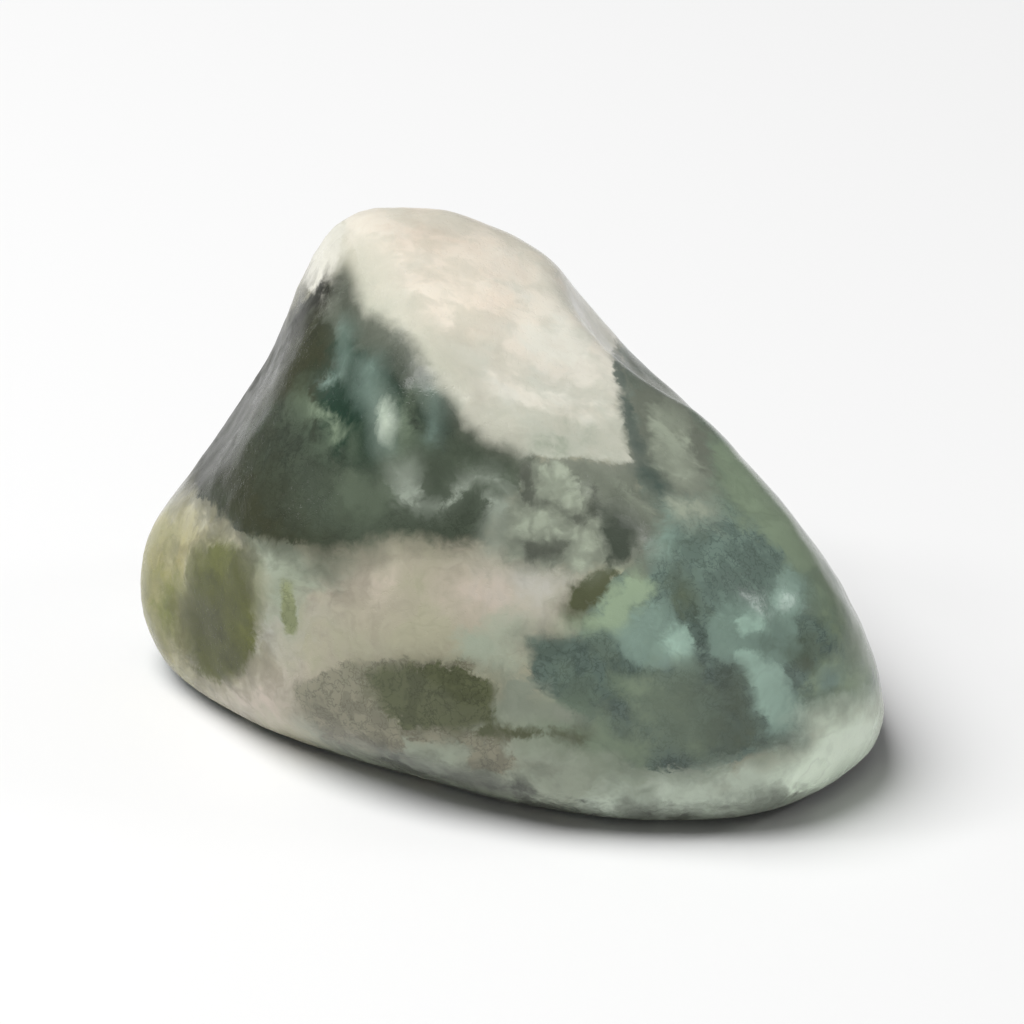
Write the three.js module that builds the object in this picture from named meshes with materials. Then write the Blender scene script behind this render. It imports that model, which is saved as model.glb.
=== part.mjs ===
// A tumbled chip of moss agate: one solid stone, lying on its worn flat underside.
//
// Units are millimetres and +Z is up. The origin is the middle of the chip's footprint, on
// the surface that it lies on. X runs along its longest side. A viewer standing at -Y sees
// the broad front face, with the milky face above it sloping up to the back.
//
// The shape is made the way the stone was. It starts as a rough piece bounded by break
// faces, most of them slightly crowned and a few scooped out where a flake came off. Then
// tumbling wears the edges round, and leaves small rises, pits and slow waves in the faces.
import * as THREE from "three";
import { ImprovedNoise } from "three/addons/math/ImprovedNoise.js";
import { mergeVertices } from "three/addons/utils/BufferGeometryUtils.js";

// Overall size of the finished chip.
const LENGTH = 18;
const DEPTH = 13.6;
const HEIGHT = 11.4;

// Every face is placed from one point inside the stone, its heart, this far above the
// surface that the stone lies on.
const HEART_HEIGHT = 4.6;

// The break faces. Each one is part of a large ball.
//   side   compass turn of the way it looks: 0 is towards the viewer, 90 is +X, 180 the back
//   rise   how far it looks up, in degrees above the horizon, or down where it is negative
//   reach  distance from the heart to the face
//   bow    radius of the ball: positive for a crowned face, negative for a scooped one
const FACES = [
  { name: "left front", side: -62, rise: 38, reach: 5.0, bow: 40 },
  { name: "left wall", side: -45, rise: 10, reach: 5.4, bow: 30 },
  { name: "front", side: -21, rise: 25, reach: 4.1, bow: 50 },
  { name: "lower front", side: -6, rise: 4, reach: 5.8, bow: 40 },
  { name: "right front", side: 40, rise: 25, reach: 7.2, bow: 25 },
  { name: "white cap", side: 60, rise: 66, reach: 4.1, bow: 30 },
  { name: "summit", side: 180, rise: 60, reach: 7.8, bow: 30 },
  { name: "cap edge", side: 130, rise: 50, reach: 5.9, bow: 30 },
  { name: "right slope", side: 113, rise: 35, reach: 4.6, bow: 60 },
  { name: "notch", side: 122, rise: 42, reach: 4.0, bow: -4.5 },
  { name: "right shoulder", side: 105, rise: 25, reach: 6.0, bow: 30 },
  { name: "right end", side: 88, rise: 4, reach: 9.2, bow: 14 },
  { name: "right foot", side: 50, rise: -42, reach: 8.9, bow: 24 },
  { name: "front foot", side: 0, rise: -45, reach: 7.5, bow: 30 },
  { name: "left foot", side: -28, rise: -45, reach: 6.15, bow: 30 },
  { name: "left corner", side: -69, rise: -31, reach: 8.6, bow: 30 },
  { name: "left end", side: -90, rise: 0, reach: 9.1, bow: 20 },
  { name: "left hollow", side: -104, rise: 24, reach: 6.15, bow: -9 },
  { name: "left shoulder", side: -117, rise: 38, reach: 8.9, bow: 30 },
  { name: "back", side: 172, rise: 8, reach: 6.5, bow: 40 },
  { name: "back scar", side: -165, rise: 20, reach: 6.3, bow: -12 },
  { name: "back right", side: 140, rise: 20, reach: 5.3, bow: 30 },
  { name: "back right scar", side: 152, rise: 2, reach: 5.6, bow: -8 },
  { name: "back left", side: -142, rise: 5, reach: 7.4, bow: 30 },
  { name: "back foot", side: 175, rise: -42, reach: 6.9, bow: 30 },
  { name: "underside", side: 0, rise: -90, reach: 4.8, bow: 200 },
];

// How narrow the worn edges are: the higher the number, the crisper the edge.
const WEAR = 26;

// Small round rises and sunken places, placed by the same two angles.
//   across  width
//   lift    height, negative for a pit or a dip
const MARKS = [
  { name: "front rib", side: -46, rise: 50, across: 1.8, lift: 0.18 },
  { name: "front rib foot", side: -38, rise: 38, across: 1.8, lift: 0.14 },
  { name: "front hollow", side: -6, rise: 36, across: 3.4, lift: -0.2 },
  { name: "lobe valley", side: 20, rise: 32, across: 2.8, lift: -0.2 },
  { name: "lobe valley foot", side: 10, rise: 10, across: 3.0, lift: -0.2 },
  { name: "lobe bump", side: 46, rise: 14, across: 3.4, lift: 0.25 },
  { name: "left bump", side: -72, rise: 0, across: 2.8, lift: 0.2 },
  { name: "left pit", side: -64, rise: 24, across: 1.8, lift: -0.12 },
  { name: "lower ledge", side: -30, rise: -8, across: 3.0, lift: 0.18 },
  { name: "lobe pit", side: 62, rise: 20, across: 1.4, lift: -0.12 },
  { name: "cap dip", side: 20, rise: 76, across: 3.0, lift: -0.12 },
  { name: "back pit", side: 160, rise: 6, across: 1.6, lift: -0.25 },
  { name: "back swell", side: -168, rise: 18, across: 3.4, lift: 0.25 },
  { name: "back left pit", side: -132, rise: 14, across: 1.4, lift: -0.2 },
];

// Waves in the faces: slow ones, and finer ones on top of them.
const WAVES = [
  { length: 4.2, height: 0.12 },
  { length: 1.7, height: 0.05 },
];

// The stone starts as a ball of 20 * (RINGS + 1) * (RINGS + 1) triangles.
const RINGS = 19;

const noise = new ImprovedNoise();

// The direction, of length one, that two angles point in.
function outward({ side, rise }) {
  const turn = THREE.MathUtils.degToRad(side);
  const lean = THREE.MathUtils.degToRad(rise);
  return new THREE.Vector3(
    Math.cos(lean) * Math.sin(turn),
    -Math.cos(lean) * Math.cos(turn),
    Math.sin(lean),
  );
}

const faces = FACES.map((face) => ({ ...face, normal: outward(face) }));

// Distance from the heart, along a direction, to the ball that a face is part of. A
// direction that misses the ball has no distance.
function distanceToFace({ normal, reach, bow }, direction) {
  const ballCentre = reach - bow;
  const alongside = direction.dot(normal) * ballCentre;
  const squareOfHalfChord = alongside ** 2 - ballCentre ** 2 + bow ** 2;
  if (squareOfHalfChord < 0) return Infinity;
  const met = alongside + Math.sign(bow) * Math.sqrt(squareOfHalfChord);
  return met > 0 ? met : Infinity;
}

// The nearest face bounds the stone. Near an edge two or three faces are about equally
// near, and together they come out a little nearer still, which rounds the edge.
function distanceToSurface(direction) {
  const sum = faces.reduce((total, face) => total + distanceToFace(face, direction) ** -WEAR, 0);
  return sum ** (-1 / WEAR);
}

const marks = MARKS.map((mark) => {
  const direction = outward(mark);
  return { ...mark, middle: direction.clone().multiplyScalar(distanceToSurface(direction)) };
});

// Height of the waves and marks at a point, measured from the heart.
function reliefAt(point) {
  const waves = WAVES.reduce((total, { length, height }) => (
    total + height * noise.noise(point.x / length, point.y / length, point.z / length)
  ), 0);
  return marks.reduce((total, { middle, across, lift }) => (
    total + lift * Math.exp(-point.distanceToSquared(middle) / (across / 2) ** 2)
  ), waves);
}

function stoneGeometry() {
  const ball = new THREE.IcosahedronGeometry(1, RINGS);
  ball.deleteAttribute("normal");
  ball.deleteAttribute("uv");
  const geometry = mergeVertices(ball, 1e-5);
  const corners = geometry.getAttribute("position");
  const proportions = new THREE.Vector3(LENGTH, DEPTH, HEIGHT);
  for (let i = 0; i < corners.count; i += 1) {
    // Turning the corners towards the stone's long side keeps the triangles even in size.
    const direction = new THREE.Vector3().fromBufferAttribute(corners, i);
    direction.multiply(proportions).normalize();
    const smooth = distanceToSurface(direction);
    const distance = smooth + reliefAt(direction.clone().multiplyScalar(smooth));
    // Whatever would reach below the resting surface is ground off flat.
    const corner = direction.multiplyScalar(distance);
    if (corner.z < -HEART_HEIGHT) corner.multiplyScalar(-HEART_HEIGHT / corner.z);
    corners.setXYZ(i, corner.x, corner.y, corner.z);
  }
  // The heart's height is taken off exactly, so that the underside lies at zero.
  geometry.translate(0, 0, HEART_HEIGHT);
  geometry.computeBoundingBox();
  const { min, max } = geometry.boundingBox;
  geometry.translate(-(min.x + max.x) / 2, -(min.y + max.y) / 2, -min.z);
  geometry.scale(LENGTH / (max.x - min.x), DEPTH / (max.y - min.y), HEIGHT / (max.z - min.z));
  geometry.computeVertexNormals();
  return geometry;
}

const stone = new THREE.Mesh(
  stoneGeometry(),
  new THREE.MeshStandardMaterial({ color: 0x7d8f80, roughness: 0.25, metalness: 0 }),
);
stone.name = "agate_chip";

const part = new THREE.Group();
part.name = "moss_agate_chip";
part.add(stone);
export default part;
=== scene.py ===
# %% [markdown]
# # A tumbled chip of moss agate
# Moss agate is chalcedony, a milky and slightly see-through quartz, with clouds and threads of green
# minerals grown into it. This chip was broken from a larger lump and then tumbled with grit and water until
# its edges were round and its faces shone. The lesson dresses the plain solid of the stone: it gives it a
# finer skin, works out where each marking lies, and builds one material that draws them all.

# %% Load the measured stone
import math

import bpy
import numpy as np
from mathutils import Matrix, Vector, noise


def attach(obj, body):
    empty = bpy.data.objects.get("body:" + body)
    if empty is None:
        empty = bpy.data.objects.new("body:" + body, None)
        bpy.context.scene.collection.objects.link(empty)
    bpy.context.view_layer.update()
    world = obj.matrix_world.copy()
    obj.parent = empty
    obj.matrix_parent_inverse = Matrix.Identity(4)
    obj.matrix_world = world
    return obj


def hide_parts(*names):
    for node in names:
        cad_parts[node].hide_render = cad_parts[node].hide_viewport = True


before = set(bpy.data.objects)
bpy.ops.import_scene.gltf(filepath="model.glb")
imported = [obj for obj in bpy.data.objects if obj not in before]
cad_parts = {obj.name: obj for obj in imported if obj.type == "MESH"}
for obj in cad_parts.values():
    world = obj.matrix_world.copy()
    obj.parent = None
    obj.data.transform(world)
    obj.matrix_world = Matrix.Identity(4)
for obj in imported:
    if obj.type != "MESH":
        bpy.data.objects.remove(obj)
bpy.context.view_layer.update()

MM = 0.001
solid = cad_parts["agate_chip"]

# %% [markdown]
# ## The camera
# The markings are placed by what a viewer sees, so the camera comes first. The stone is small, and a long
# lens from a hand's length away shows it with hardly any perspective, as a close-up photograph does.

# %% Make the camera
LOOKS_DOWN = math.radians(30)
DISTANCE = 190 * MM
FOCAL_LENGTH_MM = 280
AIM = Vector((0.05, -0.25, 5.27)) * MM

towards_viewer = Vector((0, -math.cos(LOOKS_DOWN), math.sin(LOOKS_DOWN)))
camera = bpy.data.objects.new("camera", bpy.data.cameras.new("camera"))
bpy.context.scene.collection.objects.link(camera)
bpy.context.scene.camera = camera
camera.data.lens = FOCAL_LENGTH_MM
camera.data.clip_start, camera.data.clip_end = 0.01, 10
camera.location = AIM + towards_viewer * DISTANCE
camera.rotation_euler = (math.pi / 2 - LOOKS_DOWN, 0, 0)
print("camera at", tuple(camera.location))

# %% [markdown]
# ## A finer skin
# The solid has 8,000 flat triangles, which would show as facets in a shiny stone. Catmull-Clark subdivision
# rounds them into one smooth skin, and two rounds of it leave room for relief a few tenths of a millimetre
# wide. Smoothing afterwards irons out most of what is left of the triangles, which a polished stone shows
# at once. The solid itself is only copied, because other programs rely on it.

# %% Copy and refine the stone
SAME_POINT = 0.002 * MM
ROUNDS_OF_SUBDIVISION = 2
ROUNDS_OF_SMOOTHING = 90


def refined(mesh):
    piece = bpy.data.objects.new("moss_agate", mesh)
    bpy.context.scene.collection.objects.link(piece)
    bpy.context.view_layer.objects.active = piece
    weld = piece.modifiers.new("weld", "WELD")
    weld.merge_threshold = SAME_POINT
    finer = piece.modifiers.new("finer", "SUBSURF")
    finer.levels = finer.render_levels = ROUNDS_OF_SUBDIVISION
    iron = piece.modifiers.new("iron", "SMOOTH")
    iron.factor, iron.iterations = 0.5, ROUNDS_OF_SMOOTHING
    for modifier in (weld, finer, iron):
        bpy.ops.object.modifier_apply(modifier=modifier.name)
    return piece


stone = refined(solid.data.copy())
stone.data.materials.clear()
stone.data.shade_smooth()
print("refined to", len(stone.data.vertices), "points and", len(stone.data.polygons), "faces")

# %% [markdown]
# ## Where the skin lies in the picture
# The markings of this stone were traced from a photograph, so each point of the skin has to know where it
# falls in that picture. A painted texture would need the stone to be unwrapped first. Here the points are
# projected through the camera with a little arithmetic instead. The price is that a marking stretches where
# the skin turns away from the viewer.

# %% Read the points and normals
def read(mesh, what, attribute):
    values = np.empty(len(mesh.vertices) * 3)
    getattr(mesh, what).foreach_get(attribute, values)
    return values.reshape(-1, 3)


points = read(stone.data, "vertices", "co") / MM
normals = read(stone.data, "vertex_normals", "vector")
print("points in millimetres from", points.min(0).round(2), "to", points.max(0).round(2))

# %% Project the skin into the picture
LONG_IN_PIXELS, LONG_IN_MM = 147, 18
PIXELS_PER_MM = LONG_IN_PIXELS / LONG_IN_MM
PICTURE_MIDDLE = np.array((733, 710.5))

across = np.array((1, 0, 0))
upward = np.cross(towards_viewer, across)
from_eye = points - np.array(camera.location) / MM
ahead = -(from_eye @ np.array(towards_viewer))
spot = np.stack((from_eye @ across, -(from_eye @ upward)), 1) * (DISTANCE / MM / ahead)[:, None]
pixels = PICTURE_MIDDLE + spot * PIXELS_PER_MM
print("the stone covers pixels", pixels.min(0).round(), "to", pixels.max(0).round())

# %% [markdown]
# ## Relief left by the tumbling
# Grit knocks tiny flakes off and then polishes the scars, so the skin is not glassy smooth: it has shallow
# dimples, fine waves and small pits, and more of them on the edges, which took the knocks. Moving the
# points of the mesh is right for relief that is wide enough to bend a highlight. The finest pits are left
# to a bump.

# %% Find the worn edges
EDGE_REACH_IN_STEPS = 12
SHARPEST_SHARE = 0.97

edges = np.empty(len(stone.data.edges) * 2, int)
stone.data.edges.foreach_get("vertices", edges)
edges = edges.reshape(-1, 2)


def neighbours_mean(values):
    total, count = np.zeros_like(values), np.zeros(len(values))
    for a, b in (edges.T, edges.T[::-1]):
        np.add.at(total, a, values[b])
        np.add.at(count, a, 1)
    return total / count.reshape((-1,) + (1,) * (values.ndim - 1))


smoothed = normals.copy()
for _ in range(EDGE_REACH_IN_STEPS):
    smoothed = neighbours_mean(smoothed)
spread = 1 - np.linalg.norm(smoothed, axis=1)
worn = np.clip(spread / np.quantile(spread, SHARPEST_SHARE), 0, 1)
print("the mean normal is shorter by up to", round(float(spread.max()), 3), "at the sharpest edges")

# %% Roll the waves
def waves(places, length, seed):
    return np.array([noise.noise(Vector(p) / length + Vector((seed, 0, 0))) for p in places])


SLOW_WAVE_MM, SLOW_WAVE_HIGH_MM = 1.5, 0.045
FINE_WAVE_MM, FINE_WAVE_HIGH_MM = 0.6, 0.016
height = SLOW_WAVE_HIGH_MM * waves(points, SLOW_WAVE_MM, 10)
height += FINE_WAVE_HIGH_MM * waves(points, FINE_WAVE_MM, 20)
print("waves from", height.min().round(3), "to", height.max().round(3), "mm")

# %% Knock in the dimples
DIMPLES = 150
DIMPLE_WIDE_MM = (0.16, 0.6)
DIMPLE_DEEP_MM = (0.01, 0.04)
ON_A_FACE = 0.35

rng = np.random.default_rng(7)
for _ in range(DIMPLES):
    where = points[rng.integers(len(points))]
    wide, deep = rng.uniform(*DIMPLE_WIDE_MM), rng.uniform(*DIMPLE_DEEP_MM)
    away = np.linalg.norm(points - where, axis=1) / wide
    height -= deep * (ON_A_FACE + worn) * np.exp(-away ** 2)
print("with dimples from", height.min().round(3), "to", height.max().round(3), "mm")

# %% Raise the small rises that catch the light
# Each rise is a pixel of the picture, how wide it is and how high, both in millimetres.
RISES = [
    (708.6, 693.5, 0.22, 0.07),
    (705, 684, 0.3, 0.05),
    (725, 688.5, 0.22, 0.04),
    (700.5, 680, 0.2, 0.04),
]
TALLER_THAN_WIDE = 1.5

for x, y, wide, high in RISES:
    stretched = (pixels - (x, y)) / (1, TALLER_THAN_WIDE)
    height += high * np.exp(-((stretched ** 2).sum(1)) / (wide * PIXELS_PER_MM) ** 2)
print("raised", len(RISES), "rises")

# %% Move the skin
SOLE_MM = 0.5

above_sole = np.clip(points[:, 2] / SOLE_MM, 0, 1)
points = points + normals * (height * above_sole)[:, None]
points[:, 2] = np.maximum(points[:, 2], 0)
stone.data.vertices.foreach_set("co", (points * MM).ravel())
stone.data.update()
print("relief from", height.min().round(3), "to", height.max().round(3), "mm")

# %% [markdown]
# ## Where the markings lie
# Each marking on the front is made of patches, strokes and ovals, drawn in the pixels of the photograph.
# Every point of the skin is projected to the same picture, and what is stored on it is how far inside the
# marking it lies, in millimetres. The material can then sharpen, blur or fray the edge as it likes, which a
# painted picture would not allow.

# %% Ways to draw a marking
def to_line(corners):
    nearest = np.full(len(pixels), 1e9)
    for start, end in zip(corners, corners[1:]):
        step = end - start
        t = np.clip(((pixels - start) @ step) / (step @ step), 0, 1)
        nearest = np.minimum(nearest, np.linalg.norm(pixels - start - t[:, None] * step, axis=1))
    return nearest


def patch(*outline):
    corners = np.array(outline + outline[:1], float)
    inside = np.zeros(len(pixels), bool)
    for (ax, ay), (bx, by) in zip(corners, corners[1:]):
        spans = (ay > pixels[:, 1]) != (by > pixels[:, 1])
        inside ^= spans & (pixels[:, 0] < ax + (pixels[:, 1] - ay) * (bx - ax) / ((by - ay) or 1e-9))
    return np.where(inside, 1, -1) * to_line(corners) / PIXELS_PER_MM


def stroke(width, *line):
    return (width / 2 - to_line(np.array(line, float))) / PIXELS_PER_MM


def oval(x, y, half_width, half_height):
    away = np.linalg.norm((pixels - (x, y)) / (half_width, half_height), axis=1)
    return (1 - away) * min(half_width, half_height) / PIXELS_PER_MM


MARKINGS = {}


def mark(name, *parts):
    MARKINGS[name] = np.max(parts, 0)
    print(name, "covers", int((MARKINGS[name] > 0).sum()), "points")

# %% [markdown]
# ## The pale band and the tan end
# Across the front runs a band of plain milky chalcedony, pinkish in places, and at the left end iron has
# stained it tan. It is the ground that everything else lies on, so it needs only large soft patches with
# few corners.

# %% The pale band and the tan end
mark(
    "tan",
    patch((655, 714), (664, 713), (671, 714), (671, 718), (669, 724), (668, 734), (668, 744), (655, 738),
          (650, 722)),
)
mark("tan_shade", oval(665.5, 729, 3.2, 6))
mark("pink", oval(703, 724, 6.5, 4), oval(728, 726.5, 8, 5), oval(686, 746, 9, 4.5))
mark("cream", oval(739.5, 725, 6, 4), oval(686, 733.5, 3.4, 3))
mark(
    "grey_green",
    patch((680, 714), (689, 716), (697, 719.5), (700, 723), (693, 727), (690.5, 732), (685, 731),
          (683, 723)),
    patch((723, 734), (729, 731), (734.5, 731), (735, 739), (730, 742), (723, 740)),
)

# %% [markdown]
# ## The foot of the stone
# Under the front face the stone turns in towards the floor. It is greyer there, and along the very bottom
# runs a dark line of painted shade, where the skin turns away from the light. The line could be left to the
# real shadow, but on a pale floor the bounced light would wash it out.

# %% The foot of the stone
mark(
    "grey_foot",
    patch((694, 752), (704, 755), (712, 753), (724, 751), (731, 747), (745, 748), (757, 755), (776, 755),
          (775, 764), (760, 770), (735, 772), (700, 764)),
    patch((696, 745), (702, 747), (707, 751), (708, 757), (696, 757), (692, 752)),
)
mark(
    "pale_foot",
    patch((744, 768), (753, 763.5), (762, 762), (770, 762.5), (780, 758.5), (791, 757.5), (800, 765),
          (788, 776), (744, 776)),
)
# The dark line along the bottom is painted shade.
mark(
    "painted_shade_foot",
    stroke(3.8, (697, 759), (712, 762.3), (722, 765), (733, 767.3), (742, 768.8), (755, 770), (770, 770.6),
           (783, 769.4), (790, 767.5)),
    stroke(3.6, (708, 758.8), (716, 761), (726, 763), (736, 765.8)),
)
mark(
    "light_olive",
    patch((690.5, 744), (700, 741), (704, 741), (707.5, 747), (712.5, 753.5), (712, 757.5), (703, 757),
          (696, 755), (691.5, 749)),
    oval(729, 758.5, 4.5, 3.6), stroke(3.4, (712, 753.4), (722, 754), (733, 754.4)),
    patch((699, 740), (712, 738.6), (724, 739.4), (728, 741), (704, 743)),
)
mark(
    "end_cream",
    patch((791, 750), (799, 748), (806, 748), (809, 757), (800, 768), (787, 768), (785, 762), (790, 757)),
)

# %% [markdown]
# ## The teal lobe
# The right half bulges out in a lobe of bluish green, where the threads of moss are so fine and dense that
# they read as one colour. Paler lenses in it are places with less moss. One large outline gives the lobe,
# and small ones on top give the lenses, in the order in which they lie in the stone.

# %% The teal lobe
mark(
    "teal",
    patch((754, 674), (772, 690), (782, 700), (792, 714), (802, 728), (809, 742), (803, 748), (792, 750),
          (791, 756), (781, 757.5), (770, 761), (760, 757), (749, 750), (742, 743), (741, 738),
          (745, 734.5), (750, 724), (756, 721), (758, 714), (757, 706)),
)
mark(
    "edge_green",
    patch((768, 692), (781, 698), (793, 714), (803, 730), (806, 741), (799, 743), (796, 735), (791, 727),
          (786, 719), (778, 713), (772, 706)),
)
mark(
    "blue_grey",
    patch((754, 676), (766, 685), (772, 697), (772, 706), (765, 708), (759, 708), (755, 700)),
)
mark(
    "pale_lens",
    patch((760.5, 691), (765, 692), (768, 698), (769.5, 706), (764.5, 705.5), (760.5, 699)),
    patch((764, 708), (771, 707.5), (771.5, 711.5), (764.5, 712)),
)
mark(
    "mint",
    patch((756, 730), (762, 728.5), (766.5, 732), (769, 737), (768.5, 741), (761, 742), (755, 739),
          (752.5, 735)),
    patch((760, 711.5), (763.5, 711.5), (765.5, 715), (763.5, 719), (759, 719), (758.5, 715)),
    patch((771, 731), (776, 727.5), (782, 727.5), (788, 731), (789.5, 739), (786, 741), (776, 741),
          (771, 738)),
    oval(787, 726.5, 3.4, 4.6), oval(795, 743, 2.4, 3.2),
)
mark(
    "moss_green",
    patch((750, 729), (753, 724), (758, 721.5), (760, 726), (757, 731), (756, 737), (752.5, 735),
          (744, 733.5), (745, 731.5)),
    patch((793, 739), (802, 740), (804, 748), (795, 749.5), (790.5, 746)),
)
mark(
    "pale_column",
    patch((776, 738), (781, 738), (786, 741), (789, 747), (788, 753), (783.5, 754.5), (781, 749),
          (779, 743)),
    oval(779, 732, 2.8, 2.4), oval(786.4, 728, 2.2, 2.2), oval(765.6, 736, 2.8, 2.8),
)

# %% [markdown]
# ## The deep patches of the lobe
# Thicker clots of moss make the low part of the lobe darker. They have no sharp border of their own, so a
# few simple outlines are enough, and the material will blur them.

# %% The deep patches of the lobe
mark(
    "deep_teal",
    patch((735, 736), (739, 734), (751, 735), (757, 741), (767.5, 741.7), (776, 740), (777.5, 747),
          (780.3, 753), (779.5, 757.5), (772, 758.5), (767, 761), (757, 760), (747, 754), (744, 750),
          (737, 745)),
    stroke(2.2, (765.3, 723), (766.4, 728), (768.5, 731.5), (770, 735), (770.3, 740.5)),
    oval(767.5, 729.5, 2.6, 2.6), stroke(1.8, (779, 755.5), (790, 755)),
)
mark(
    "dark_core",
    oval(775.5, 755, 4.2, 2.4), stroke(2, (777, 744), (778, 750), (779, 754)), oval(766.2, 727, 1.3, 2.8),
    oval(790, 739.2, 2.4, 2.2), oval(796.5, 747.2, 1.2, 1.2),
)
mark(
    "smoky",
    patch((753, 743), (768, 743), (771, 750), (770, 757), (762, 755), (756, 748)),
    patch((742, 748), (750, 750), (760, 756), (758, 759.5), (745, 757), (738, 752.5)),
)
mark(
    "grey_wedge",
    patch((731, 741), (735, 742.5), (741, 746), (745.5, 751), (736, 751.5), (728.5, 750.5), (729, 746)),
)

# %% [markdown]
# ## The olive patches
# Olive patches are moss with more iron in it. The one at the left end is as round as an eye and is darker
# below, and the others lie in the pale band like leaves.

# %% The olive patches
mark(
    "olive",
    patch((703, 741.6), (707, 741), (714, 740), (722, 740.4), (727, 742), (730.6, 745), (729.6, 748),
          (729.4, 752), (722, 753.6), (712, 753), (708.5, 749), (705.5, 745)),
)
mark(
    "leaf",
    stroke(2.4, (727, 753), (733, 754), (740, 753.6), (746, 754.6)),
    patch((743, 729), (744.6, 725), (748, 723), (752, 720.8), (754, 722), (751, 725.8), (749, 729.4),
          (746.6, 731.6), (743.8, 731)),
)
mark(
    "eye",
    patch((670.6, 717.6), (676, 716), (681, 717.4), (683.2, 724), (684, 731), (682.8, 737), (680.6, 742),
          (676, 744), (672, 742), (669.4, 737), (668.6, 731), (669.6, 724)),
)
mark("eye_shade", oval(674, 733, 4.4, 7.5), oval(677.5, 739, 4.4, 3.4))
mark("olive_speck", stroke(2.6, (689, 725), (689.4, 729), (689.8, 733)))

# %% [markdown]
# ## The dark green corner
# The upper left face is nearly black-green, because little of the milky stone is left between the threads.
# Inside it, patches a shade lighter or bluer show how thick the moss is. They are drawn one over the other.

# %% The dark green corner
mark(
    "dark_green",
    patch((700, 662.5), (704, 666), (712, 672), (720, 680), (728, 692), (738, 698), (740, 703), (734, 707),
          (729, 712), (728.5, 716.5), (720, 717), (712, 714.8), (706, 716), (702, 717.6), (697, 718.6),
          (692, 717), (686, 715.4), (680, 715), (676, 711), (671, 706), (671, 700), (679, 688), (685, 679),
          (692, 669), (697, 666)),
)
mark(
    "olive_margin",
    patch((697, 668), (699, 672), (698.5, 682), (695, 690), (687, 688), (680, 695), (684, 704), (690, 711),
          (697, 715), (698, 721), (688, 718), (678, 714), (670, 704), (680, 688), (690, 672)),
)
mark(
    "grey_peak",
    patch((700, 663), (702.5, 669), (701.5, 673), (698.6, 674.6), (696.4, 673), (697, 668)),
    patch((703, 671), (709, 673), (714, 680), (718, 686), (717, 689), (711, 680), (706, 679.5),
          (702.5, 676)),
)
mark(
    "dusky_green",
    patch((700, 702), (709, 701), (716, 699), (724, 697.5), (736, 701), (734, 706), (722, 708), (712, 711),
          (705, 714), (697, 711)),
)
mark(
    "blue_shade",
    patch((709.5, 677.6), (712, 679), (715, 683), (718, 688), (719, 694), (716, 695), (714, 690),
          (711.5, 685), (709, 681)),
)
mark(
    "teal_bump",
    patch((700, 674), (704, 678), (708, 680), (712, 686), (714, 693), (712, 699), (706, 701), (699, 699),
          (695, 694), (694, 689), (697, 684), (698, 680)),
)

# %% [markdown]
# ## The pale marks in the corner
# Wisps of clear stone wind through the dark corner. A wisp could be a curve with thickness, but it lies
# inside the polished face and must not stand proud of it, so it is a stroke: a line with a width. Among
# them are painted highlights: a bright glint on the highest small rise and one on the cap's edge, with
# paler halos round the glints on the rises.

# %% The pale marks in the corner
mark(
    "bump_faint",
    stroke(2.4, (693.4, 689.6), (697, 692.5), (699, 695.5)),
    patch((711, 691), (713, 690), (714, 697), (712.6, 700.6), (710.5, 699)),
)
# Pale wisps, partly painted highlight round the glints on the rises.
mark(
    "pale_wisps_and_glints",
    patch((702.8, 681), (706.4, 681), (707.8, 687), (708.8, 692), (709.4, 698), (707.2, 698), (705.6, 692),
          (703, 688)),
    stroke(1.8, (700, 674.6), (700.6, 680.5), (699.4, 683.4), (696.4, 685.6)),
    stroke(2.2, (717.6, 687), (717.9, 691), (717.4, 696)),
)
# Painted highlights: the glint on the highest rise and the one on the cap's edge.
mark("painted_glints", oval(708.6, 692.8, 1.4, 2.8), oval(724.6, 688.4, 1.8, 1.8))
mark(
    "curl",
    patch((710, 702), (713.4, 700.8), (714.8, 704), (714.8, 708.4), (711.4, 708.6), (709.6, 705)),
    stroke(1.6, (728.6, 707), (729.4, 712), (729, 716)),
    stroke(0.6, (714, 709), (718, 709.6), (721.6, 708.4), (723.5, 706)),
    stroke(1.6, (722.6, 706), (725.8, 703.6), (729.5, 704), (732, 706.3), (733.2, 710)),
    patch((728.6, 707), (733.5, 707.5), (734.2, 713), (733, 718), (728.6, 718)),
)

# %% [markdown]
# ## The lace of little cells
# Between the corner and the lobe the stone is a lace of little pale cells with darker walls, as if bubbles
# had set in a gel. Outlines give only its border and its lightest and darkest spots here. The cell walls
# come later, from a Voronoi texture, which is made of cells already.

# %% The lace of little cells
mark(
    "lace",
    patch((735, 701), (740, 700), (747, 700), (753, 702), (757, 708), (758.5, 713), (757, 719),
          (752, 721.5), (746, 722.5), (739, 722), (732, 720), (729.5, 715), (731.5, 710.5), (734, 706)),
)
mark(
    "cells",
    patch((738, 701.6), (742.6, 701), (745.4, 703.4), (746.8, 707.6), (746.8, 710.4), (744.6, 710.2),
          (742.4, 708), (738, 707.4)),
    patch((734.6, 710.4), (740, 709.8), (743, 711.4), (742.6, 714.6), (738.4, 715), (734, 713.8)),
    patch((745.2, 713.4), (748.6, 713), (749.4, 717), (748.6, 722), (745, 721.6)),
)
mark(
    "lace_dark",
    patch((735.6, 716.4), (740.6, 715.6), (744, 716.4), (743.6, 719.4), (740, 720), (736, 719.4)),
    stroke(2, (747, 702), (748.8, 706), (749.2, 711)), stroke(2, (735.6, 701.6), (736.2, 707.6)),
    stroke(1.4, (737, 708.8), (742, 709)), stroke(1.6, (743, 711), (746.4, 711.8)),
)
mark(
    "violet_grey",
    patch((743.4, 700), (757, 701), (758.6, 706), (762, 712), (758, 722), (752.5, 722), (751.6, 712),
          (750.4, 706.6), (746, 703.4)),
)
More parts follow.
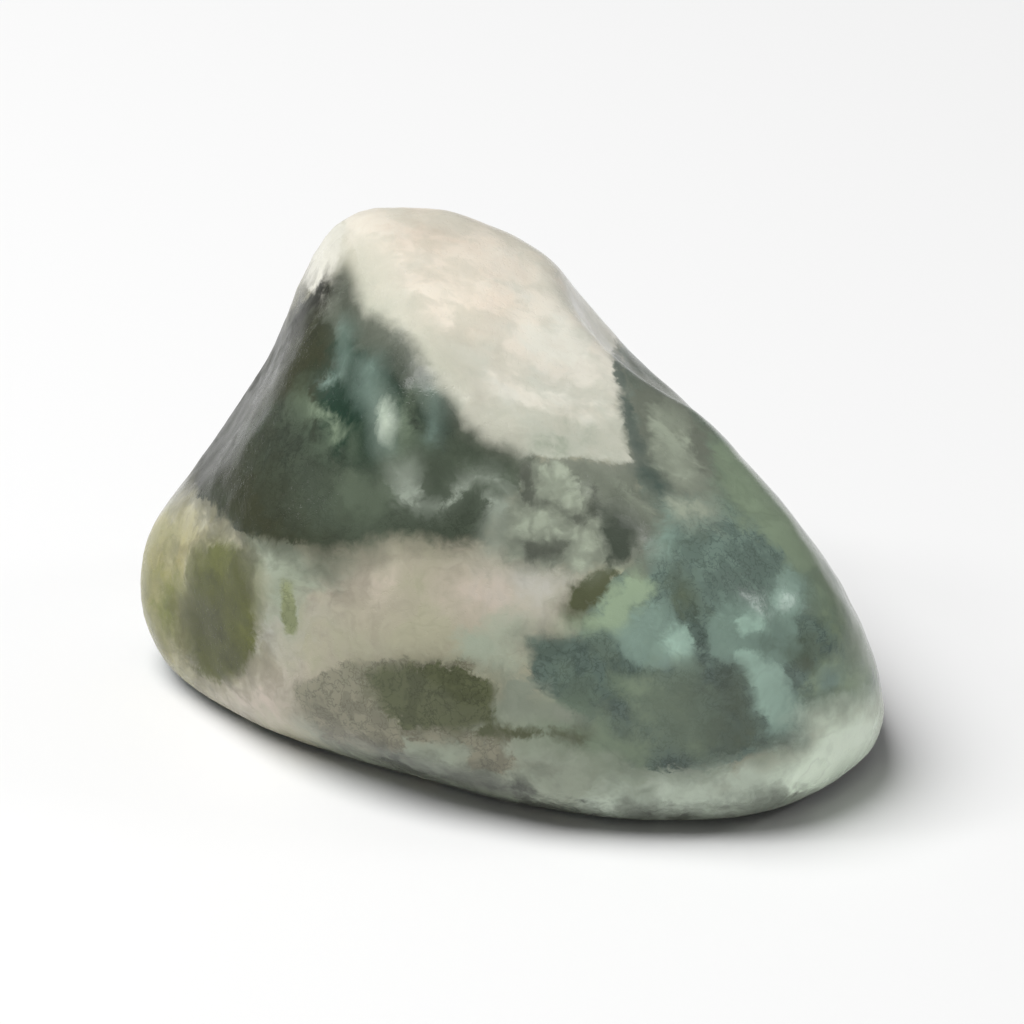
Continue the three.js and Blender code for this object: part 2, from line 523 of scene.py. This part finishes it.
mark(
    "violet",
    patch((750.4, 709.4), (754, 708.4), (757.2, 711), (757.8, 715), (756, 719.6), (752.6, 720.6),
          (750.6, 716)),
)
mark("violet_line", stroke(1.6, (751.6, 703), (755.4, 706.6), (759.6, 710.4)))
mark("dark_line", stroke(2.8, (752.8, 681), (754.4, 688), (756.4, 696), (758.6, 702), (762, 706)))

# %% [markdown]
# ## The white cap
# The top face is almost pure milk-white and ends in a crisp edge along the ridge. Three large veils tint it
# warm, pink and cool, so that it does not look like plaster. The last outlines here say where edges look
# soft, and where the rim of the corner was rubbed dull. The rim is also painted a dark olive, as painted
# shade that dims the pale sheen the lamps leave along it.

# %% The white cap
mark(
    "white",
    patch((700.4, 658), (699, 640), (725, 636), (750, 648), (768, 672), (754, 674.5), (752.6, 680),
          (753.3, 686), (754.2, 691), (755.2, 696), (756.4, 700.6), (752, 701), (747, 699.8), (741, 699.8),
          (736, 699.6), (731, 697.8), (727, 695.8), (724.4, 693.8), (722.8, 690.4), (720.6, 687.4),
          (718, 685.4), (716, 681.4), (714, 678), (711, 675.2), (707.6, 673), (704.2, 671.6), (702.8, 668),
          (702, 664.5)),
)
mark(
    "white_facet",
    patch((688, 645), (700.8, 648), (700.8, 660), (697.4, 665.4), (695.6, 669.4), (693, 667), (689, 662)),
)
mark("cap_warm", oval(718, 656, 16, 6))
mark("cap_pink", oval(724, 671, 9, 7))
mark("cap_cool", oval(741, 697, 15, 4.5), stroke(7, (702, 668), (712, 677), (720, 685)))
mark(
    "softened",
    stroke(12, (704, 664), (706, 672), (713, 679), (722, 689), (730, 697)),
    stroke(9, (697, 720), (712, 716.5), (728, 716)), oval(737, 735, 8, 5),
    stroke(8, (784, 759), (792, 751), (806, 747)),
)
# The rim's dark colour is painted shade against the sheen along it; its dullness is real roughness.
mark(
    "rim",
    stroke(3.2, (696.5, 667), (690, 674.5), (685, 681.5), (680.5, 689), (676, 697), (671.5, 704)),
)

# %% [markdown]
# ## Markings of the unseen side
# Towards the back each large field fades over into clouds of noise. How often a colour turns up there, and
# how large its clouds are, follows the front. Marks that occur only once stay on the front.

# %% Continue the colours round the back
# Each cloud is so many millimetres wide, and rarer the higher its second number is. Finer clouds fray it.
OCTAVES = [(1, 40), (2.6, 45), (6, 48)]
CLOUDS = {
    "white": (3.6, 0.34), "dark_green": (3.2, 0.16), "teal": (4.2, -0.02), "deep_teal": (2.2, 0.22),
    "olive": (2.6, 0.36), "mint": (1.6, 0.26), "pale_column": (2.4, 0.30), "pink": (2.8, 0.18),
    "tan": (2.4, 0.30), "lace": (2.6, 0.52), "dusky_green": (2.2, 0.20), "olive_margin": (2.0, 0.20),
    "grey_green": (2.0, 0.1), "smoky": (1.8, 0.2),
}
UNSEEN_FROM, SEEN_FROM = -0.16, 0.12
FAR_MM = 1.5
CLOUD_EDGE_MM = 1.8

facing = normals @ np.array(towards_viewer)
seen = np.clip((facing - UNSEEN_FROM) / (SEEN_FROM - UNSEEN_FROM), 0, 1)
seen = seen * seen * (3 - 2 * seen)
for number, (name, field) in enumerate(MARKINGS.items()):
    if name in CLOUDS:
        length, rarity = CLOUDS[name]
        cloud = sum(waves(points, length / finer, seed + 10 * number) / finer for finer, seed in OCTAVES)
        cloud = (cloud - rarity) * CLOUD_EDGE_MM
    else:
        cloud = -FAR_MM
    field = seen * np.clip(field, -FAR_MM, FAR_MM) + (1 - seen) * cloud
    stored = stone.data.attributes.new(name, "FLOAT", "POINT")
    stored.data.foreach_set("value", field.astype(np.float32))
stored = stone.data.attributes.new("worn", "FLOAT", "POINT")
stored.data.foreach_set("value", neighbours_mean(worn).astype(np.float32))
print("stored", len(stone.data.attributes), "attributes on the skin")

# %% [markdown]
# ## Node groups for stone
# Three effects repeat in every field of colour: threads of moss, an edge that breaks up into tufts and
# crumbs, and a filling. Each is a node group with named sockets, so that a field is one line further down.

# %% Helpers that build nodes
def new_group(name, inputs, outputs):
    group = bpy.data.node_groups.new(name, "ShaderNodeTree")
    for label, kind, value in inputs:
        socket = group.interface.new_socket(label, in_out="INPUT", socket_type="NodeSocket" + kind)
        socket.default_value = value
    for label, kind in outputs:
        group.interface.new_socket(label, in_out="OUTPUT", socket_type="NodeSocket" + kind)
    return group, group.nodes.new("NodeGroupInput").outputs, group.nodes.new("NodeGroupOutput").inputs


def plug(tree, node, inputs):
    for name, value in inputs.items():
        if isinstance(value, bpy.types.NodeSocket):
            tree.links.new(value, node.inputs[name])
        else:
            node.inputs[name].default_value = value
    return node.outputs


def put(tree, kind, inputs, **settings):
    node = tree.nodes.new("ShaderNode" + kind)
    for name, value in settings.items():
        setattr(node, name, value)
    return plug(tree, node, inputs)


def maths(tree, operation, first, second=0.0, third=0.0):
    return put(tree, "Math", {0: first, 1: second, 2: third}, operation=operation)[0]


def ramp(tree, value, low, high, start=0.0, end=1.0):
    limits = {"Value": value, "From Min": low, "From Max": high, "To Min": start, "To Max": end}
    return put(tree, "MapRange", limits, interpolation_type="SMOOTHSTEP")["Result"]


def blend(tree, amount, under, over):
    return put(tree, "Mix", {0: amount, 6: under, 7: over}, data_type="RGBA")[2]


def group_node(tree, group, inputs, label=""):
    node = tree.nodes.new("ShaderNodeGroup")
    node.node_tree, node.label = group, label
    return plug(tree, node, inputs)[0]

# %% [markdown]
# ## Threads of moss
# The moss is a tangle of threads thinner than a hair. Modelling them would take millions of faces. A noise
# texture has curling lines where it passes through its middle value, and close to such a line there is a
# thread.

# %% A group for threads of moss
threads, given, made = new_group(
    "moss threads",
    [("Vector", "Vector", (0, 0, 0)), ("Size mm", "Float", 0.6), ("Width", "Float", 0.02),
     ("Detail", "Float", 3)],
    [("Mask", "Float")],
)
curls_per_mm = maths(threads, "DIVIDE", 1.0, given["Size mm"])
curl = put(threads, "TexNoise", {"Vector": given["Vector"], "Scale": curls_per_mm,
                                 "Detail": given["Detail"], "Roughness": 0.55})["Fac"]
away = maths(threads, "ABSOLUTE", maths(threads, "SUBTRACT", curl, 0.5))
threads.links.new(ramp(threads, away, 0.0, given["Width"], 1.0, 0.0), made["Mask"])

# %% [markdown]
# ## The edge of a marking
# Seen close, moss has no clean border: it ends in tufts, with crumbs beside it and a faint halo of finer
# threads. So two noises push the border about, a slow one for tufts and a fine one for crumbs, and a smooth
# step turns the distance into a mask. Where the border lies deeper in the milky stone, Depth blurs it.

# %% A group that breaks up the edge of a marking
# Noise mostly lies between 0.3 and 0.7, and this spreads it to between -1 and 1.
SPREAD = (5.0, -2.5)

tufts, given, made = new_group(
    "tufted edge",
    [("Inside mm", "Float", 0), ("Wave", "Float", 0.5), ("Wave mm", "Float", 0.2), ("Crumb", "Float", 0.5),
     ("Crumb mm", "Float", 0.1), ("Soft mm", "Float", 0.1), ("Halo", "Float", 0.3), ("Depth", "Float", 0)],
    [("Mask", "Float")],
)
# A deep edge keeps a quarter of its crumbs, and is about four times as soft as an edge at the skin.
wave = maths(tufts, "MULTIPLY_ADD", given["Wave"], *SPREAD)
crumb = maths(tufts, "MULTIPLY_ADD", given["Crumb"], *SPREAD)
crumb = maths(tufts, "MULTIPLY", crumb, maths(tufts, "MULTIPLY_ADD", given["Depth"], -0.75, 1.0))
middle_line = maths(tufts, "MULTIPLY_ADD", wave, given["Wave mm"], given["Inside mm"])
frayed = maths(tufts, "MULTIPLY_ADD", crumb, given["Crumb mm"], middle_line)
blurred = maths(tufts, "DIVIDE", frayed, maths(tufts, "MULTIPLY_ADD", given["Depth"], 1.6, 0.5))
core = ramp(tufts, blurred, maths(tufts, "MULTIPLY", given["Soft mm"], -1.0), given["Soft mm"])
halo = maths(tufts, "MULTIPLY", ramp(tufts, middle_line, -0.5, 0.15), given["Halo"])
tufts.links.new(maths(tufts, "MAXIMUM", core, halo), made["Mask"])

# %% [markdown]
# ## The filling of a marking
# No patch of the stone is one flat colour. Each filling mixes its colour with a cloud of a second shade,
# and lays threads of a third on top. One small group does this for every field.

# %% A group for the filling of a marking
filling, given, made = new_group(
    "filling",
    [("Cloud", "Float", 0.5), ("Low", "Float", 0.36), ("High", "Float", 0.64),
     ("Main", "Color", (1, 1, 1, 1)), ("Other", "Color", (1, 1, 1, 1)),
     ("Threads", "Float", 0), ("Thread", "Color", (1, 1, 1, 1))],
    [("Color", "Color")],
)
cloudy = ramp(filling, given["Cloud"], given["Low"], given["High"])
clouded = blend(filling, cloudy, given["Main"], given["Other"])
filling.links.new(blend(filling, given["Threads"], clouded, given["Thread"]), made["Color"])

# %% Colours as the eye names them
def colour(seen, bright):
    def linear(value):
        value *= bright / 255
        return value / 12.92 if value <= 0.04045 else ((value + 0.055) / 1.055) ** 2.4
    return tuple(linear(value) for value in seen) + (1,)

# %% [markdown]
# ## The material
# The stone is milky, so light goes in a little and comes out beside where it went in. A small share of
# subsurface scattering gives that, and a thin clear coat stands for the wet-looking polish.

# %% Start the material with its noises
agate = bpy.data.materials.new("tumbled_moss_agate")
agate.use_nodes = True
tree = agate.node_tree
tree.nodes.clear()
here = put(tree, "TexCoord", {})["Object"]
in_mm = put(tree, "Mapping", {"Vector": here, "Scale": (1000, 1000, 1000)})["Vector"]


def noise_of(size_mm, detail, roughness, where):
    settings = {"Vector": where, "Scale": 1 / size_mm, "Detail": detail, "Roughness": roughness}
    return put(tree, "TexNoise", settings)["Color"]


def channels(noise):
    return put(tree, "SeparateColor", {"Color": noise})


def pushed(where, push, times):
    along = put(tree, "VectorMath", {0: push, 1: (times,) * 3, 2: where}, operation="MULTIPLY_ADD")
    return along[0]


drift = put(tree, "VectorMath", {0: noise_of(1.1, 3, 0.5, in_mm), 1: (0.5,) * 3}, operation="SUBTRACT")[0]
flow = pushed(in_mm, drift, 0.9)
coarse = channels(noise_of(1.6, 4, 0.6, flow))
middle = channels(noise_of(0.6, 4, 0.6, flow))
fine = channels(noise_of(0.17, 3, 0.7, flow))

# %% Grow the threads
near = maths(tree, "MAXIMUM",
             group_node(tree, threads, {"Vector": flow, "Size mm": 0.55, "Width": 0.022, "Detail": 4.0}),
             group_node(tree, threads, {"Vector": in_mm, "Size mm": 0.3, "Width": 0.03, "Detail": 3.0}))
deep = group_node(tree, threads, {"Vector": flow, "Size mm": 0.8, "Width": 0.07, "Detail": 2.0})
sparse = maths(tree, "MULTIPLY", deep, ramp(tree, coarse[0], 0.4, 0.6))
CELL_MM, WALL = 0.62, 0.3
bent = pushed(flow, noise_of(0.35, 2, 0.5, in_mm), 0.4)
cells = put(tree, "TexVoronoi", {"Vector": bent, "Scale": 1 / CELL_MM}, feature="DISTANCE_TO_EDGE")
walls = ramp(tree, cells["Distance"], 0.0, WALL, 1.0, 0.0)
print("grew threads close to the skin, deeper ones, and the walls of the lace")

# %% [markdown]
# ## Depth
# An edge that is buried a little deeper in the milky stone looks softer than one that reaches the skin.
# True depth would need a volume, which renders slowly and can't be exported. Instead a slow noise chooses
# which stretches of an edge lie deeper, and a few are marked one by one.

# %% Let some edges lie deeper
softened = ramp(tree, put(tree, "Attribute", {}, attribute_name="softened")["Fac"], -0.4, 0.3)
depths = [maths(tree, "MAXIMUM", softened, ramp(tree, coarse[c], 0.42, 0.62)) for c in range(3)]

# %% [markdown]
# ## The minerals and their colours
# The stone is made of few minerals, so it needs few colours: milky chalcedony, the same with a little iron
# in it, moss, and mixtures of them. The colours are as the eye sees them in daylight, from 0 to 255. They
# could be picked for each field on its own, but then it wouldn't show which fields are the same stuff.

# %% Name the minerals
MINERALS = {
    "milk": (230, 228, 215),
    "rosy milk": (202, 191, 176),
    "cream": (188, 185, 160),
    "iron stain": (174, 166, 112),
    "clear stone": (160, 168, 150),
    "pale green": (200, 212, 194),
    "green moss": (134, 150, 126),
    "teal moss": (140, 163, 150),
    "deep moss": (40, 64, 50),
    "olive moss": (121, 127, 94),
    "rusty moss": (116, 121, 58),
}
print("the stone has", len(MINERALS), "minerals and mixtures")

# %% [markdown]
# ## The fields of colour
# Each field has a name, a kind, a mineral and how bright that mineral is there: moss is darker where it is
# thicker, and milk is darker where it is deeper. The kinds gather what makes one border differ from
# another, so that the table of fields stays short.

# %% Name the kinds of field
# The edge of a field is pushed about by waves and by crumbs, is so many millimetres soft, and may have a
# faint halo. The clouds and the threads of its filling are so many times as bright as the field itself.
KINDS = {
    # wave mm, crumb mm, soft mm, halo, clouds, threads
    "moss": (0.15, 0.08, 0.14, 0.3, 1.12, 0.8),
    "line": (0.05, 0.05, 0.12, 0.2, 0.92, 0.78),
    "lace": (0.1, 0.1, 0.2, 0.2, 1.04, 0.8),
    "glow": (0.06, 0.08, 0.26, 0.15, 0.94, 0.84),
    "lens": (0.12, 0.06, 0.2, 0.1, 0.94, 0.84),
    "sharp": (0.08, 0.04, 0.14, 0.15, 0.95, 0.86),
    "milk": (0.2, 0.05, 0.4, 0.0, 0.94, 0.84),
    "haze": (0.25, 0.04, 0.9, 0.0, 0.94, 0.84),
    "veil": (0.3, 0.0, 1.6, 0.0, 0.99, 0.95),
}

# %% Ways to lay one field over the rest
def edge_of(name, kind, number=0):
    wave_mm, crumb_mm, soft_mm, halo = KINDS[kind][:4]
    return group_node(tree, tufts, {
        "Inside mm": put(tree, "Attribute", {}, attribute_name=name)["Fac"],
        "Wave": middle[number % 3], "Crumb": fine[(number + 1) % 3], "Depth": depths[number % 3],
        "Wave mm": wave_mm, "Crumb mm": crumb_mm, "Soft mm": soft_mm, "Halo": halo,
    }, name)


def filling_of(kind, number, mineral, bright):
    main = MINERALS[mineral]
    mossy = kind in ("moss", "line", "lace")
    cloud_times, thread_times = KINDS[kind][4:]
    inner = walls if kind == "lace" else near if mossy else sparse
    return group_node(tree, filling, {
        "Cloud": (middle if mossy else coarse)[number % 3],
        "Low": 0.44 if mossy else 0.36, "High": 0.56 if mossy else 0.64,
        "Main": colour(main, bright), "Other": colour(main, bright * cloud_times),
        "Thread": colour(main, bright * thread_times),
        "Threads": maths(tree, "MULTIPLY", inner, 0.6 if mossy else 0.3),
    })

# %% Name the fields of the front
FIELDS = [
    ("tan", "haze", "iron stain", 1.0),
    ("tan_shade", "haze", "rusty moss", 1.0),
    ("pink", "haze", "rosy milk", 1.0),
    ("cream", "haze", "milk", 0.83),
    ("grey_green", "milk", "clear stone", 1.05),
    ("grey_foot", "milk", "clear stone", 1.02),
    ("light_olive", "moss", "cream", 0.68),
    ("teal", "moss", "teal moss", 0.75),
    ("edge_green", "milk", "green moss", 1.0),
    ("blue_grey", "milk", "clear stone", 0.73),
    ("pale_lens", "milk", "clear stone", 1.0),
    ("moss_green", "milk", "green moss", 1.15),
    ("mint", "lens", "teal moss", 1.0),
    ("pale_column", "lens", "teal moss", 1.25),
    ("pale_foot", "milk", "pale green", 1.0),
    ("deep_teal", "moss", "teal moss", 0.62),
    ("smoky", "haze", "green moss", 0.95),
    ("dark_core", "milk", "green moss", 0.75),
    ("grey_wedge", "milk", "clear stone", 0.87),
    ("end_cream", "milk", "pale green", 1.2),
    ("olive", "moss", "olive moss", 0.7),
    ("leaf", "lens", "olive moss", 0.72),
    ("eye", "glow", "rusty moss", 0.86),
    ("eye_shade", "haze", "rusty moss", 0.53),
    ("olive_speck", "line", "olive moss", 1.2),
    ("dark_green", "moss", "green moss", 0.46),
    ("olive_margin", "haze", "olive moss", 0.5),
    ("dusky_green", "haze", "green moss", 0.69),
    ("teal_bump", "milk", "deep moss", 0.9),
    ("blue_shade", "milk", "deep moss", 0.65),
    ("grey_peak", "milk", "clear stone", 0.67),
    ("bump_faint", "milk", "green moss", 0.9),
    # The next two fields are painted highlights, the first one only in part.
    ("pale_wisps_and_glints", "glow", "teal moss", 0.83),
    ("painted_glints", "sharp", "pale green", 1.02),
    ("curl", "glow", "pale green", 0.8),
    ("lace", "lace", "clear stone", 0.86),
    ("lace_dark", "lens", "clear stone", 0.57),
    ("violet_grey", "milk", "clear stone", 0.74),
    ("cells", "lace", "clear stone", 1.04),
    ("violet", "milk", "green moss", 0.49),
    ("violet_line", "glow", "clear stone", 0.84),
    ("dark_line", "lens", "teal moss", 0.58),
]
print("the front has", len(FIELDS), "fields of colour over the pale base")

# %% Name the fields of the cap and the last lines
CAP_TINTS = [
    ("cap_warm", "veil", "rosy milk", 1.06),
    ("cap_pink", "veil", "rosy milk", 1.2),
    ("cap_cool", "veil", "clear stone", 1.0),
]
LAST = [
    ("white_facet", "sharp", "milk", 0.96),
    # The rim is painted darker than its neighbours, as painted shade against the lamps' pale sheen.
    ("rim", "milk", "olive moss", 0.3),
    # Painted shade along the bottom of the foot.
    ("painted_shade_foot", "milk", "clear stone", 0.51),
]

# %% [markdown]
# ## From the ground up
# The fields are laid like coats of glaze, the large pale ones first and the small dark ones last. Each one
# covers what lies under it as far as its mask says.

# %% Lay the fields over each other
def lay(under, fields):
    for number, (name, kind, mineral, bright) in enumerate(fields):
        under = blend(tree, edge_of(name, kind, number), under, filling_of(kind, number, mineral, bright))
    return under


look = lay(filling_of("milk", 2, "cream", 0.94), FIELDS)
cap = lay(filling_of("veil", 0, "milk", 1.0), CAP_TINTS)
look = blend(tree, edge_of("white", "sharp", 1), look, cap)
look = lay(look, LAST)
print("the material has", len(tree.nodes), "nodes")

# %% [markdown]
# ## Polish and pits
# Tumbling gives an even, wet-looking polish, duller where the edges were knocked. The finest pits are too
# small for the mesh, so a bump bends the light over them, and moss at the skin polishes a little lower than
# the chalcedony round it.

# %% Finish the material
PIT_MM = 0.09
RELIEF_MM = 0.012
POLISHED, KNOCKED, RUBBED_DULL, UNPOLISHED = 0.15, 0.36, 0.6, 0.7

pits = put(tree, "TexNoise", {"Vector": in_mm, "Scale": 1 / PIT_MM, "Detail": 2.0})["Fac"]
pits = ramp(tree, pits, 0.3, 0.4)
grown = maths(tree, "MULTIPLY_ADD", near, -0.3, pits)
relief = put(tree, "Bump", {"Height": maths(tree, "MULTIPLY_ADD", fine[1], 0.4, grown), "Strength": 0.3,
                            "Distance": RELIEF_MM * MM})["Normal"]
worn_here = put(tree, "Attribute", {}, attribute_name="worn")["Fac"]
dull = ramp(tree, maths(tree, "ADD", worn_here, middle[2]), 0.5, 1.6, POLISHED, KNOCKED)
dull = maths(tree, "MAXIMUM", dull, maths(tree, "MULTIPLY", edge_of("rim", "veil"), RUBBED_DULL))
violet = put(tree, "Attribute", {}, attribute_name="violet")["Fac"]
dull = maths(tree, "MAXIMUM", dull, ramp(tree, violet, -0.4, 0.2, 0.0, UNPOLISHED))
shader = put(tree, "BsdfPrincipled", {
    "Base Color": look, "Roughness": dull, "Normal": relief, "IOR": 1.5, "Specular IOR Level": 0.26,
    "Subsurface Weight": 0.2, "Subsurface Radius": (1.0, 1.0, 0.9), "Subsurface Scale": 0.25 * MM,
    "Coat Weight": 0.08, "Coat Roughness": 0.08, "Coat IOR": 1.5,
})
put(tree, "OutputMaterial", {"Surface": shader["BSDF"]})
stone.data.materials.append(agate)

# %% [markdown]
# ## In the solid's place
# The dressed stone moves with the body of the part, and it is shown instead of the plain solid, which stays
# where it is for every other program.

# %% Put the finished stone in the solid's place
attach(stone, "root")
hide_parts("agate_chip")

# %% [markdown]
# ## Floor and light
# A plain pale floor bounces light back up under the stone, and large soft lamps leave one clean highlight
# along each worn edge.

# %% Make the floor
bpy.ops.mesh.primitive_plane_add(size=3)
floor = bpy.context.object
floor.name = "floor"
pale = bpy.data.materials.new("pale_floor")
pale.use_nodes = True
pale.node_tree.nodes["Principled BSDF"].inputs["Base Color"].default_value = (0.86, 0.86, 0.86, 1)
pale.node_tree.nodes["Principled BSDF"].inputs["Roughness"].default_value = 0.7
floor.data.materials.append(pale)

# %% Hang the lamps
def soft_lamp(name, place, wide, power):
    lamp = bpy.data.objects.new(name, bpy.data.lights.new(name, "AREA"))
    bpy.context.scene.collection.objects.link(lamp)
    lamp.data.shape, lamp.data.size, lamp.data.energy = "DISK", wide, power
    lamp.location = place
    lamp.rotation_euler = (AIM - lamp.location).to_track_quat("-Z", "Y").to_euler()


def seen_from_stone(side, rise, distance):
    side, rise = math.radians(side), math.radians(rise)
    level = Vector((math.sin(side), -math.cos(side), 0))
    return AIM + distance * (level * math.cos(rise) + Vector((0, 0, math.sin(rise))))


# Each lamp has its side and rise in degrees, its distance and width in metres, and its power in watts.
LAMPS = {
    "overhead": (-80, 68, 0.27, 0.2, 0.8),
    "left window": (-84, 42, 0.3, 0.05, 0.08),
    "right window": (92, 32, 0.3, 0.05, 0.05),
}
for name, (side, rise, distance, wide, power) in LAMPS.items():
    soft_lamp(name, seen_from_stone(side, rise, distance), wide, power)
print("hung", len(LAMPS), "lamps")
world = bpy.data.worlds.new("soft room")
bpy.context.scene.world = world
world.use_nodes = True
world.node_tree.nodes["Background"].inputs["Color"].default_value = (1, 1, 1, 1)
world.node_tree.nodes["Background"].inputs["Strength"].default_value = 0.18
bpy.context.scene.view_settings.view_transform = "Standard"
